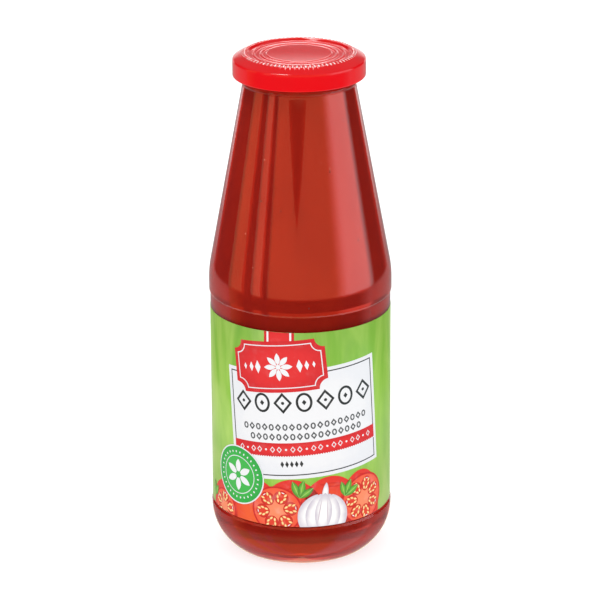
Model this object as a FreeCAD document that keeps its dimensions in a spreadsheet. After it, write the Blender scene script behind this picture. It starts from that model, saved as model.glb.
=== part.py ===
"""Passata bottle: a glass bottle filled with tomato passata, closed by a twist-off metal lid and
wrapped in a paper label.

Units are millimetres. The bottle stands on z = 0 with its axis along +Z. Every piece is a turned
shape, drawn as a half outline (radius across, height up) and revolved about the axis.
"""

import FreeCAD, Part
import math
import os
import re

import Sketcher

SIZES = {
    # Outside of the glass, from the bottom up.
    "contact_radius": 39.6,
    "recess_depth": 0.5,
    "heel_width": 13.0,
    "bearing_width": 2.0,
    "push_up_height": 5.0,
    "heel_toe_radius": 7.9,
    "heel_side_radius": 22.7,
    "lower_band_height": 1.3,
    "recess_ramp": 1.0,
    "panel_height": 96.6,
    "upper_band_height": 4.4,
    "shoulder_radius": 46.8,
    "cone_height": 87.0,
    "neck_radius": 24.2,
    "neck_height": 12.8,
    "bead_gap": 0.5,
    "bead_height": 1.8,
    "bead_bulge": 0.95,
    "finish_foot": 3.8,
    "finish_step": 1.1,
    "finish_edge": 0.9,
    # Inside of the glass.
    "body_wall": 2.6,
    "neck_wall": 2.0,
    "floor_thickness": 4.2,
    "floor_edge_inset": 2.0,
    "floor_edge_height": 2.8,
    "inner_heel_radius": 13.0,
    "head_space": 6.2,
    # Thread lugs on the finish, which the lid's own lugs lock under.
    "lug_count": 6,
    "thread_depth": 1.1,
    "thread_thickness": 1.6,
    "thread_sweep": 34.0,
    # Twist-off lid, pressed from sheet.
    "lid_height": 9.6,
    "sheet_thickness": 0.5,
    "lid_bevel_width": 3.6,
    "lid_bevel_height": 2.7,
    "bore_clearance": 0.15,
    "channel_slope": 0.95,
    "panel_drop": 1.1,
    "thread_clearance": 0.9,
    "hem_height": 1.3,
    "hem_width": 1.1,
    "lug_engagement": 0.8,
    "lug_clearance": 0.25,
    "lid_lug_sweep": 14.0,
    "outer_ring_inset": 1.9,
    "ring_spacing": 3.1,
    "ring_half_width": 0.7,
    "ring_rise": 0.4,
    "button_inset": 1.9,
    "button_ramp": 0.5,
    "button_rise": 0.35,
    # Paper label in the recessed panel.
    "label_margin": 0.6,
    "label_top_margin": 6.6,
    "label_thickness": 0.15,
}

# Radii and heights that follow from the sizes, as expressions on the sheet.
PANEL = "contact_radius - recess_depth"
BEARING = "contact_radius - heel_width"
BORE = "neck_radius - neck_wall"
FINISH = "neck_radius + finish_step"
THREAD = f"{FINISH} + thread_depth"
HEM = f"{THREAD} + thread_clearance"
LID = f"{HEM} + hem_width"
SLOPE = "(contact_radius - neck_radius) / cone_height"
HEEL_TOP = (
    "heel_toe_radius + sqrt((heel_side_radius - heel_toe_radius)^2"
    " - (heel_side_radius - heel_width)^2)"
)
PANEL_FOOT = f"{HEEL_TOP} + lower_band_height + recess_ramp"
PANEL_TOP = f"{PANEL_FOOT} + panel_height"
BAND_TOP = f"{PANEL_TOP} + recess_ramp + upper_band_height"
CONE_TOP = f"{BAND_TOP} + cone_height"
LAND = f"{CONE_TOP} + neck_height"
CREST = f"{LAND} + sheet_thickness"
HEM_FOOT = f"{CREST} - lid_height"
HEM_TOP = f"{HEM_FOOT} + hem_height"

SUB_PARTS = ("glass_bottle", "passata", "lid", "label")


def bound(text):
    """Turns an expression on size names into one on the sheet's cells."""
    return re.sub(r"\b[a-z_]{3,}\b(?!\()", r"Sizes.\g<0>", text)


def make_sheet(doc):
    """Writes every driving size into a spreadsheet cell with an alias."""
    sheet = doc.addObject("Spreadsheet::Sheet", "Sizes")
    for row, (name, value) in enumerate(SIZES.items(), start=1):
        sheet.set(f"A{row}", name)
        sheet.set(f"B{row}", str(value))
        sheet.setAlias(f"B{row}", name)
    doc.recompute()
    return sheet


def origin_feature(body, role):
    """The origin plane or axis of a body that has this role."""
    return next(feature for feature in body.Origin.OriginFeatures if feature.Role == role)


class Outline:
    """A closed half outline on the XZ plane, drawn corner by corner as lines and arcs.

    A corner is a pair of size expressions, its radius and its height. A corner's coordinate that
    starts with "~" is only where the corner starts from, and tangency settles it.
    """

    def __init__(self, body, name):
        self.sketch = body.newObject("Sketcher::SketchObject", name)
        self.sketch.AttachmentSupport = (origin_feature(body, "XZ_Plane"), [""])
        self.sketch.MapMode = "FlatFace"
        self.sheet = body.Document.getObject("Sizes")
        self.first = None
        self.last = None
        self.pen = None

    def value(self, text):
        """What an expression comes to now."""
        return float(self.sheet.evalExpression(bound(text.lstrip("~"))))

    def point(self, corner):
        """The place of a corner in the sketch."""
        return FreeCAD.Vector(self.value(corner[0]), self.value(corner[1]), 0)

    def drive(self, kind, *places, text):
        """Adds a dimension and binds it to an expression on the sheet."""
        index = self.sketch.addConstraint(Sketcher.Constraint(kind, *places, self.value(text)))
        self.sketch.setExpression(f"Constraints[{index}]", bound(text))

    def hold(self, end, corner):
        """Holds the end of a line or arc at a corner."""
        radius, height = corner
        for text, axis, kind in ((radius, -2, "DistanceX"), (height, -1, "DistanceY")):
            if text.startswith("~"):
                continue
            if text == "0":
                self.sketch.addConstraint(Sketcher.Constraint("PointOnObject", *end, axis))
            else:
                self.drive(kind, -1, 1, *end, text=text)

    def join(self, start, end, corner, smooth):
        """Ties a new edge to the one before it and holds its far end."""
        if self.last is None:
            self.first = start
        else:
            kind = "Tangent" if smooth else "Coincident"
            self.sketch.addConstraint(Sketcher.Constraint(kind, *self.last, *start))
        self.hold(end, corner)
        self.last = end
        self.pen = self.point(corner)

    def begin(self, corner):
        """Sets the corner that the outline starts and ends at."""
        self.start_corner = corner
        self.pen = self.point(corner)

    def line(self, *corner, smooth=False):
        """Draws a straight edge to a corner."""
        index = self.sketch.addGeometry(Part.LineSegment(self.pen, self.point(corner)), False)
        self.join((index, 1), (index, 2), corner, smooth)

    def arc(self, *corner, bend=None, left=True, smooth=False):
        """Draws an arc to a corner, turning left or right, of radius bend or centred on the axis."""
        start, end = self.pen, self.point(corner)
        if bend is None:
            rise = start.y - end.y
            centre = FreeCAD.Vector(0, start.y - (end.x ** 2 + rise ** 2) / (2 * rise), 0)
        else:
            chord = end - start
            side = FreeCAD.Vector(-chord.y, chord.x, 0).normalize() * (1 if left else -1)
            reach = math.sqrt(self.value(bend) ** 2 - (chord.Length / 2) ** 2)
            centre = (start + end) * 0.5 + side * reach
        angles = [math.atan2(spot.y - centre.y, spot.x - centre.x) for spot in (start, end)]
        circle = Part.Circle(centre, FreeCAD.Vector(0, 0, 1), (start - centre).Length)
        shape = Part.ArcOfCircle(circle, *(angles if left else reversed(angles)))
        index = self.sketch.addGeometry(shape, False)
        ends = ((index, 1), (index, 2)) if left else ((index, 2), (index, 1))
        self.join(*ends, corner, smooth)
        if bend is None:
            self.sketch.addConstraint(Sketcher.Constraint("PointOnObject", index, 3, -2))
        else:
            self.drive("Radius", index, text=bend)

    def close(self):
        """Draws the last edge back to the first corner."""
        self.line(*self.start_corner)
        self.sketch.addConstraint(Sketcher.Constraint("Coincident", *self.last, *self.first))
        return self.sketch


def revolve(body, kind, name, sketch, sweep=None):
    """Turns a half outline about the axis, the whole way round or through the size called sweep."""
    feature = body.newObject(f"PartDesign::{kind}", name)
    feature.Profile = sketch
    feature.ReferenceAxis = (sketch, ["V_Axis"])
    if sweep is None:
        feature.Angle = 360
    else:
        feature.Midplane = True
        feature.setExpression("Angle", bound(sweep))
    return feature


def repeat_round(body, name, feature):
    """Repeats a lug evenly round the axis."""
    pattern = body.newObject("PartDesign::PolarPattern", name)
    pattern.Originals = [feature]
    pattern.Axis = (origin_feature(body, "Z_Axis"), [""])
    pattern.Angle = 360
    pattern.setExpression("Occurrences", bound("lug_count"))
    body.Tip = pattern


def add_body(doc, label):
    """Starts a sub-part, which stands where the whole bottle does."""
    body = doc.addObject("PartDesign::Body", label)
    body.Label = label
    body.Placement = FreeCAD.Placement()
    return body


def glass_outline(body):
    """Outside of the bottle: push-up, heel, label recess, shoulder, cone, bead and finish."""
    outline = Outline(body, "GlassOutline")
    outline.begin(("0", "push_up_height"))
    outline.arc(f"{BEARING} - bearing_width", "0", left=False)
    outline.line(BEARING, "0")
    outline.arc(
        f"~{BEARING} + 0.8 * heel_toe_radius",
        "~0.4 * heel_toe_radius",
        bend="heel_toe_radius",
        smooth=True,
    )
    outline.arc("contact_radius", f"~{HEEL_TOP}", bend="heel_side_radius", smooth=True)
    outline.line("contact_radius", f"{HEEL_TOP} + lower_band_height", smooth=True)
    outline.line(PANEL, PANEL_FOOT)
    outline.line(PANEL, PANEL_TOP)
    outline.line("contact_radius", f"{PANEL_TOP} + recess_ramp")
    outline.line("contact_radius", BAND_TOP)
    outline.arc(
        f"~contact_radius - 0.5 * shoulder_radius * ({SLOPE})^2",
        f"~{BAND_TOP} + shoulder_radius * {SLOPE}",
        bend="shoulder_radius",
        smooth=True,
    )
    outline.line("neck_radius", CONE_TOP, smooth=True)
    outline.line("neck_radius", f"{CONE_TOP} + bead_gap")
    outline.arc("neck_radius", f"{CONE_TOP} + bead_gap + bead_height", bend="bead_bulge")
    outline.line("neck_radius", f"{CONE_TOP} + finish_foot")
    outline.line(FINISH, f"{CONE_TOP} + finish_foot + finish_step")
    outline.line(FINISH, f"{LAND} - finish_edge")
    outline.arc(f"{FINISH} - finish_edge", LAND, bend="finish_edge")
    outline.line("0", LAND)
    return outline.close()


def cavity_outline(body, top):
    """Inside of the bottle up to the height called top: domed floor, wall, shoulder and neck."""
    wall = f"{PANEL} - body_wall"
    bend = "shoulder_radius - recess_depth - body_wall"
    outline = Outline(body, "CavityOutline")
    outline.begin(("0", "push_up_height + floor_thickness"))
    outline.arc(f"{BEARING} - floor_edge_inset", "floor_edge_height", left=False)
    outline.arc(wall, "~floor_edge_height + 0.98 * inner_heel_radius", bend="inner_heel_radius")
    outline.line(wall, BAND_TOP, smooth=True)
    outline.arc(
        f"~{wall} - 0.5 * ({bend}) * ({SLOPE})^2",
        f"~{BAND_TOP} + ({bend}) * {SLOPE}",
        bend=bend,
        smooth=True,
    )
    outline.line(BORE, CONE_TOP, smooth=True)
    outline.line(BORE, top)
    outline.line("0", top)
    return outline.close()


def lug_outline(body, inner, outer, bottom, top):
    """A lug's rectangular section."""
    outline = Outline(body, "LugOutline")
    outline.begin((inner, bottom))
    outline.line(outer, bottom)
    outline.line(outer, top)
    outline.line(inner, top)
    return outline.close()


def make_glass(doc):
    """The bottle: turned outside, hollowed, with thread lugs round its finish."""
    body = add_body(doc, "glass_bottle")
    revolve(body, "Revolution", "Outside", glass_outline(body))
    revolve(body, "Groove", "Cavity", cavity_outline(body, LAND))
    foot = f"{HEM_TOP} + lug_clearance"
    lug = lug_outline(body, "neck_radius", THREAD, foot, f"{foot} + thread_thickness")
    repeat_round(body, "ThreadLugs", revolve(body, "Revolution", "ThreadLug", lug, "thread_sweep"))


def make_passata(doc):
    """The passata, which fills the cavity up to its level."""
    body = add_body(doc, "passata")
    revolve(body, "Revolution", "Fill", cavity_outline(body, f"{LAND} - head_space"))


def lid_corners():
    """Corners of the lid's top face from the axis out to the skirt, with where the underside lies.

    Each is a radius, a depth below the crest, and how many sheet thicknesses further in the
    underside's corner lies. It always lies one thickness further down.
    """
    rim = f"{BORE} - bore_clearance - channel_slope"
    outer_ring = f"{rim} - outer_ring_inset"
    middle_ring = f"{outer_ring} - ring_spacing"
    button = f"{middle_ring} - button_inset"
    corners = [
        ("0", "panel_drop - button_rise", 0),
        (f"{button} - button_ramp", "panel_drop - button_rise", 0),
        (button, "panel_drop", 0),
    ]
    for ring in (middle_ring, outer_ring):
        corners += [
            (f"{ring} - ring_half_width", "panel_drop", 0),
            (f"{ring} - 0.3 * ring_half_width", "panel_drop - ring_rise", 0),
            (f"{ring} + 0.3 * ring_half_width", "panel_drop - ring_rise", 0),
            (f"{ring} + ring_half_width", "panel_drop", 0),
        ]
    corners += [
        (rim, "panel_drop", 0),
        (f"{BORE} - bore_clearance", "0", 0),
        (f"{LID} - lid_bevel_width", "0", 0),
        (f"{LID} - 0.4 * lid_bevel_width", "0.3 * lid_bevel_height", 0.6),
        (LID, "lid_bevel_height", 1),
    ]
    return corners


def make_lid(doc):
    """The lid: stepped top, bevelled shoulder, skirt with a curled hem, and lugs inside it."""
    body = add_body(doc, "lid")
    corners = lid_corners()
    top = [(radius, f"{CREST} - ({depth})") for radius, depth, _ in corners]
    under = [
        ("0" if radius == "0" else f"{radius} - {inward} * sheet_thickness",
         f"{CREST} - ({depth}) - sheet_thickness")
        for radius, depth, inward in reversed(corners)
    ]
    outline = Outline(body, "LidOutline")
    outline.begin(top[0])
    for corner in top[1:]:
        outline.line(*corner)
    outline.line(LID, HEM_FOOT)
    outline.line(HEM, HEM_FOOT)
    outline.line(HEM, HEM_TOP)
    outline.line(f"{LID} - sheet_thickness", HEM_TOP)
    for corner in under:
        outline.line(*corner)
    revolve(body, "Revolution", "Pressing", outline.close())
    lug = lug_outline(
        body, f"{THREAD} - lug_engagement", f"{HEM} + 0.5 * hem_width", HEM_FOOT, HEM_TOP
    )
    repeat_round(body, "LidLugs", revolve(body, "Revolution", "LidLug", lug, "lid_lug_sweep"))


def make_label(doc):
    """The label: a paper sleeve on the recessed panel."""
    body = add_body(doc, "label")
    foot = f"{PANEL_FOOT} + label_margin"
    head = f"{PANEL_TOP} - label_top_margin"
    outline = Outline(body, "LabelOutline")
    outline.begin((PANEL, foot))
    outline.line(f"{PANEL} + label_thickness", foot)
    outline.line(f"{PANEL} + label_thickness", head)
    outline.line(PANEL, head)
    revolve(body, "Revolution", "Sleeve", outline.close())


def check(doc):
    """Stops if any object failed or any sub-part has no sound shape."""
    for item in doc.Objects:
        if "Invalid" in item.State or "Error" in item.State:
            raise RuntimeError(f"{item.Label} failed: {item.State}")
    for label in SUB_PARTS:
        shape = doc.getObject(label).Shape
        if shape.isNull() or not shape.isValid() or len(shape.Solids) != 1:
            raise RuntimeError(f"{label} has no sound solid")


def main():
    """Builds the document, checks it and writes one STEP file for each sub-part."""
    doc = FreeCAD.newDocument("PassataBottle")
    make_sheet(doc)
    make_glass(doc)
    make_passata(doc)
    make_lid(doc)
    make_label(doc)
    doc.recompute()
    check(doc)
    os.makedirs("parts", exist_ok=True)
    for label in SUB_PARTS:
        doc.getObject(label).Shape.exportStep(f"parts/{label}.step")


main()
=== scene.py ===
"""Passata bottle: the clear glass, the filling, the lacquered lid and the printed paper label."""

import logging
import math
import random
from dataclasses import dataclass
from enum import Enum
from typing import Callable, Iterable

import bmesh
import bpy
from mathutils import Matrix, Vector


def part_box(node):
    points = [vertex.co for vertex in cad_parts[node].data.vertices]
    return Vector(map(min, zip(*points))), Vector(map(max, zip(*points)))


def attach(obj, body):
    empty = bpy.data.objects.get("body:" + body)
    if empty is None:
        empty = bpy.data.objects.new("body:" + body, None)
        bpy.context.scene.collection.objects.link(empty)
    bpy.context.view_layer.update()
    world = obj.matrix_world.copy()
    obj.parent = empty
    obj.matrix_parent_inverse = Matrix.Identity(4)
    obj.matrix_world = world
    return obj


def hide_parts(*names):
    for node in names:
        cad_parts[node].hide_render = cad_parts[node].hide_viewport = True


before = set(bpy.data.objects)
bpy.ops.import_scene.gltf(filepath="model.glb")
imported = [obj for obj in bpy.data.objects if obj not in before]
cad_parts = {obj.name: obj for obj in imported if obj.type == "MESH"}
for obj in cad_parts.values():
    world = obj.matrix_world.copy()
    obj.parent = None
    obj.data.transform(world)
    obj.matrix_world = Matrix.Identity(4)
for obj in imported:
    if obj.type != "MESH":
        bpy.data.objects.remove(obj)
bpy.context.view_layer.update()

LOG = logging.getLogger("passata_bottle")
MM = 0.001
UPRIGHT = Matrix.Rotation(math.pi / 2, 4, "X")

Number = float | int


def ink(red: int, green: int, blue: int) -> tuple[float, float, float, float]:
    """Turns a printer's 8-bit colour into the linear colour that a shader takes.

    Args:
        red: red share, 0 to 255.
        green: green share, 0 to 255.
        blue: blue share, 0 to 255.

    Returns:
        Linear red, green, blue and a full alpha.
    """
    shares = [share / 255 for share in (red, green, blue)]
    linear = [s / 12.92 if s <= 0.04045 else ((s + 0.055) / 1.055) ** 2.4 for s in shares]
    return (*linear, 1.0)


# --------------------------------------------------------------------------------------------------
# Shader building
# --------------------------------------------------------------------------------------------------


class Wire:
    """A shader socket that takes part in Python arithmetic through Math nodes."""

    def __init__(self, shader: "Shader", socket: bpy.types.NodeSocket) -> None:
        """Wraps an output socket of a node in this shader."""
        self.shader = shader
        self.socket = socket

    def math(self, operation: str, *operands: "Wire | Number") -> "Wire":
        """Adds one Math node.

        Args:
            operation: the node's operation, such as "ADD".
            operands: its inputs in order.

        Returns:
            The node's result.
        """
        sockets = dict(enumerate(operands))
        return self.shader.wire("ShaderNodeMath", {"operation": operation}, sockets)

    def __add__(self, other: "Wire | Number") -> "Wire":
        """Sum of two values."""
        return self.math("ADD", self, other)

    def __radd__(self, other: Number) -> "Wire":
        """Sum with the number on the left."""
        return self.math("ADD", other, self)

    def __sub__(self, other: "Wire | Number") -> "Wire":
        """Difference of two values."""
        return self.math("SUBTRACT", self, other)

    def __rsub__(self, other: Number) -> "Wire":
        """Difference with the number on the left."""
        return self.math("SUBTRACT", other, self)

    def __mul__(self, other: "Wire | Number") -> "Wire":
        """Product of two values."""
        return self.math("MULTIPLY", self, other)

    def __rmul__(self, other: Number) -> "Wire":
        """Product with the number on the left."""
        return self.math("MULTIPLY", other, self)

    def __abs__(self) -> "Wire":
        """Size of a value without its sign."""
        return self.math("ABSOLUTE", self)

    def rise(self, low: float, high: float) -> "Wire":
        """Climbs smoothly from 0 where this value is low to 1 where it is high.

        Args:
            low: value at which the climb starts.
            high: value at which it ends.

        Returns:
            The smooth step.
        """
        return self.shader.wire(
            "ShaderNodeMapRange",
            {"interpolation_type": "SMOOTHSTEP"},
            {0: self, 1: low, 2: high, 3: 0.0, 4: 1.0},
        )


class Shader:
    """A node tree and the one way of adding nodes to it."""

    def __init__(self, owner: bpy.types.Material | bpy.types.World) -> None:
        """Starts an empty tree.

        Args:
            owner: the material or world that holds the tree.
        """
        owner.use_nodes = True
        self.owner = owner
        self.tree = owner.node_tree
        self.tree.nodes.clear()

    def node(
        self,
        kind: str,
        settings: dict[str, object] | None = None,
        sockets: dict[str | int, object] | None = None,
    ) -> bpy.types.Node:
        """Adds a node.

        Args:
            kind: the node's type name.
            settings: its own settings, set first.
            sockets: values or wires for its inputs, by name or number.

        Returns:
            The new node.
        """
        node = self.tree.nodes.new(kind)
        for name, value in (settings or {}).items():
            setattr(node, name, value)
        for name, value in (sockets or {}).items():
            if isinstance(value, Wire):
                self.tree.links.new(value.socket, node.inputs[name])
            else:
                node.inputs[name].default_value = value
        return node

    def wire(
        self,
        kind: str,
        settings: dict[str, object] | None = None,
        sockets: dict[str | int, object] | None = None,
        output: str | int = 0,
    ) -> Wire:
        """Adds a node and wraps one of its outputs.

        Args:
            kind: the node's type name.
            settings: its own settings.
            sockets: values or wires for its inputs.
            output: the output to wrap, by name or number.

        Returns:
            The wrapped output.
        """
        return Wire(self, self.node(kind, settings, sockets).outputs[output])

    def place(self, stretch: tuple[float, float, float] = (1, 1, 1)) -> Wire:
        """Place on the piece in its own Object coordinates, stretched along each axis."""
        here = self.wire("ShaderNodeTexCoord", output="Object")
        return self.wire("ShaderNodeMapping", {}, {"Vector": here, "Scale": stretch})

    def own_map(self, name: str) -> Wire:
        """Place on the piece's own UV map of this name."""
        return self.wire("ShaderNodeUVMap", {"uv_map": name})

    def noise(self, where: Wire, scale: float, detail: float = 3.0, twist: float = 0.0) -> Wire:
        """Soft cloudy noise from about 0 to 1.

        Args:
            where: coordinates to read.
            scale: how many blobs fit in one unit.
            detail: octaves of finer noise.
            twist: how much the noise is bent.

        Returns:
            The noise value.
        """
        sockets = {"Vector": where, "Scale": scale, "Detail": detail, "Distortion": twist}
        return self.wire("ShaderNodeTexNoise", {}, sockets)

    def blend(self, share: Wire | float, low: object, high: object) -> Wire:
        """Mixes two colours.

        Args:
            share: 0 for the first colour, 1 for the second.
            low: first colour or wire.
            high: second colour or wire.

        Returns:
            The mixed colour.
        """
        settings = {"data_type": "RGBA", "clamp_factor": True}
        return self.wire("ShaderNodeMix", settings, {0: share, 6: low, 7: high}, output=2)

    def bump(self, height: Wire, depth: float, strength: float = 1.0) -> Wire:
        """Turns a height from 0 to 1 into a bumped normal.

        Args:
            height: height over the surface.
            depth: real depth of the relief in metres.
            strength: share of the relief that shows.

        Returns:
            The bumped normal.
        """
        sockets = {"Strength": strength, "Distance": depth, "Height": height}
        return self.wire("ShaderNodeBump", {}, sockets)

    def surface(self, **sockets: object) -> None:
        """Closes the tree with a Principled surface; an underscore stands for a space in a name."""
        named = {name.replace("_", " "): value for name, value in sockets.items()}
        face = self.wire("ShaderNodeBsdfPrincipled", {}, named)
        self.node("ShaderNodeOutputMaterial", {}, {"Surface": face})


# --------------------------------------------------------------------------------------------------
# Finishes
# --------------------------------------------------------------------------------------------------


@dataclass(frozen=True)
class ClearGlass:
    """Flint glass with the faint waviness of a blown wall."""

    name: str = "clear_glass"
    wave: float = 0.05 * MM

    def material(self) -> bpy.types.Material:
        """Builds the finish.

        Returns:
            The new material.
        """
        shader = Shader(bpy.data.materials.new(self.name))
        waves = shader.noise(shader.place((1, 1, 0.35)), 60, detail=1.0)
        shader.surface(
            Base_Color=(0.97, 0.985, 0.975, 1),
            Roughness=0.015,
            IOR=1.52,
            Transmission_Weight=1.0,
            Normal=shader.bump(waves, self.wave, 0.5),
        )
        return shader.owner


@dataclass(frozen=True)
class SievedTomato:
    """Smooth tomato passata, wet where it lies against the glass."""

    name: str = "sieved_tomato"
    deep: tuple = ink(224, 50, 36)
    light: tuple = ink(236, 58, 40)
    shine: float = 0.5

    def material(self) -> bpy.types.Material:
        """Builds the finish.

        Returns:
            The new material.
        """
        shader = Shader(bpy.data.materials.new(self.name))
        clouds = shader.noise(shader.place((1, 1, 0.4)), 40, detail=4.0, twist=0.6)
        grain = shader.noise(shader.place(), 900, detail=3.0)
        pulp = shader.blend(clouds.rise(0.3, 0.75), self.deep, self.light)
        tone = shader.blend(grain.rise(0.62, 0.8) * 0.35, pulp, ink(160, 26, 18))
        shader.surface(
            Base_Color=tone,
            Metallic=self.shine,
            Roughness=0.04 + grain * 0.04,
            Specular_IOR_Level=0.1,
            Normal=shader.bump(clouds, 0.02 * MM, 0.2),
        )
        return shader.owner


@dataclass(frozen=True)
class RedLacquer:
    """Glossy red lacquer baked on tinplate."""

    name: str = "red_lacquer"
    colour: tuple = ink(228, 12, 22)

    def material(self) -> bpy.types.Material:
        """Builds the finish.

        Returns:
            The new material.
        """
        shader = Shader(bpy.data.materials.new(self.name))
        peel = shader.noise(shader.place(), 700, detail=2.0)
        blotches = shader.noise(shader.place(), 120, detail=4.0)
        tone = shader.blend(blotches.rise(0.45, 0.8) * 0.25, self.colour, ink(216, 8, 20))
        shader.surface(
            Base_Color=tone,
            Roughness=0.07 + blotches * 0.05,
            Specular_IOR_Level=0.5,
            Normal=shader.bump(peel, 0.006 * MM, 0.3),
        )
        return shader.owner


@dataclass(frozen=True)
class PaintedToothGlint:
    """Painted highlight: a near-white colour on the lid's teeth that stands in for light glinting off
    them.
    """

    name: str = "painted_tooth_glint"
    # Near-white of the painted glint on the teeth.
    colour: tuple = ink(252, 226, 224)

    def material(self) -> bpy.types.Material:
        """Builds the finish.

        Returns:
            The new material.
        """
        shader = Shader(bpy.data.materials.new(self.name))
        # Noise breaks the painted glint up with blotches of red lacquer.
        blotches = shader.noise(shader.place(), 420, detail=3.0)
        tone = shader.blend(blotches.rise(0.52, 0.68), self.colour, ink(232, 40, 48))
        shader.surface(Base_Color=tone, Roughness=0.25 + blotches * 0.2, Specular_IOR_Level=0.6)
        return shader.owner


@dataclass(frozen=True)
class PaintedField:
    """The label's ground: leafy green laid on in broad upright brush strokes, printed on paper."""

    name: str = "painted_green_field"
    uv: str = "Sleeve"

    def material(self) -> bpy.types.Material:
        """Builds the finish.

        Returns:
            The new material.
        """
        shader = Shader(bpy.data.materials.new(self.name))
        flat = shader.own_map(self.uv)
        long = shader.wire("ShaderNodeMapping", {}, {"Vector": flat, "Scale": (90, 16, 1)})
        broad = shader.wire("ShaderNodeMapping", {}, {"Vector": flat, "Scale": (36, 22, 1)})
        slant = shader.wire(
            "ShaderNodeMapping",
            {},
            {"Vector": flat, "Scale": (260, 60, 1), "Rotation": (0, 0, math.radians(18))},
        )
        strokes = shader.noise(long, 1.0, detail=5.0, twist=1.2)
        patches = shader.noise(broad, 1.0, detail=2.0, twist=0.8)
        hairs = shader.noise(slant, 1.0, detail=3.0, twist=0.4)
        ground = shader.blend(strokes.rise(0.32, 0.7), ink(133, 190, 58), ink(166, 208, 88))
        light = shader.blend(patches.rise(0.5, 0.74) * 0.8, ground, ink(190, 219, 118))
        dark = shader.blend((1 - patches).rise(0.56, 0.8) * 0.75, light, ink(104, 166, 60))
        brushed = shader.blend(hairs.rise(0.6, 0.85) * 0.35, dark, ink(120, 178, 56))
        shader.surface(
            Base_Color=brushed,
            Roughness=0.28 + hairs * 0.1,
            Specular_IOR_Level=0.5,
            Normal=shader.bump(hairs, 0.01 * MM, 0.3),
        )
        return shader.owner


@dataclass(frozen=True)
class Ink:
    """A printed colour that may darken to its rim, with the fine mottle of offset print.

    The rim is where the shape's own map, which runs from -1 to 1 across it, comes to 1.
    """

    name: str
    face: tuple
    rim: tuple
    fade_from: float = 0.2
    mottle: float = 0.06
    rib: tuple | None = None

    def material(self) -> bpy.types.Material:
        """Builds the finish.

        Returns:
            The new material.
        """
        shader = Shader(bpy.data.materials.new(self.name))
        flat = shader.own_map("Motif")
        out = shader.wire("ShaderNodeVectorMath", {"operation": "LENGTH"}, {0: flat}, "Value")
        clouds = shader.noise(shader.place(), 220, detail=4.0, twist=0.5)
        grain = shader.noise(shader.place(), 2600, detail=1.0)
        tone = shader.blend(
            (out + (clouds - 0.5) * 0.5).rise(self.fade_from, 1.05), self.face, self.rim
        )
        if self.rib:
            parts = shader.node("ShaderNodeSeparateXYZ", {}, {0: flat})
            middle = 1 - abs(Wire(shader, parts.outputs[1])).rise(0.02, 0.16)
            tone = shader.blend(middle * 0.7, tone, self.rib)
        tone = shader.blend(clouds.rise(0.5, 0.8) * self.mottle, tone, (1, 1, 1, 1))
        shader.surface(
            Base_Color=tone,
            Roughness=0.3 + grain * 0.08,
            Specular_IOR_Level=0.5,
        )
        return shader.owner


class Inks(Enum):
    """The label's printed colours."""

    WHITE = Ink("ink_white", ink(236, 236, 238), ink(230, 231, 235), 0.7, 0.0)
    RED = Ink("ink_red", ink(226, 38, 40), ink(212, 30, 36), 0.5, 0.04)
    DARK = Ink("ink_dark", ink(48, 50, 52), ink(48, 50, 52), 0.5, 0.03)
    GREY = Ink("ink_grey", ink(84, 86, 88), ink(84, 86, 88), 0.5, 0.03)
    SEAL = Ink("ink_seal_green", ink(66, 184, 78), ink(44, 170, 68), 0.5, 0.03)
    SAUCE = Ink("ink_sauce", ink(240, 92, 40), ink(226, 44, 36), 0.1, 0.08)
    SKIN = Ink("ink_tomato_skin", ink(222, 40, 34), ink(206, 26, 28), 0.6, 0.05)
    FLESH = Ink("ink_tomato_flesh", ink(248, 138, 96), ink(240, 84, 52), 0.2, 0.12)
    PULP = Ink("ink_tomato_pulp", ink(226, 58, 32), ink(206, 34, 24), 0.2, 0.1)
    SEED = Ink("ink_seed", ink(252, 222, 160), ink(240, 176, 96), 0.3, 0.0)
    LEAF = Ink("ink_leaf", ink(120, 186, 58), ink(62, 138, 44), 0.2, 0.06, ink(176, 216, 120))
    CLOVE = Ink("ink_clove", ink(250, 248, 246), ink(204, 196, 208), 0.35, 0.0)
    VEIN = Ink("ink_vein", ink(196, 176, 190), ink(214, 204, 212), 0.3, 0.0)


# --------------------------------------------------------------------------------------------------
# Turned shapes
# --------------------------------------------------------------------------------------------------


def clamp(share: float) -> float:
    """A share kept from 0 to 1."""
    return max(0.0, min(1.0, share))


def ease(share: float) -> float:
    """Smooth climb from 0 to 1 as the share goes from 0 to 1."""
    share = clamp(share)
    return share * share * (3 - 2 * share)


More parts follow.
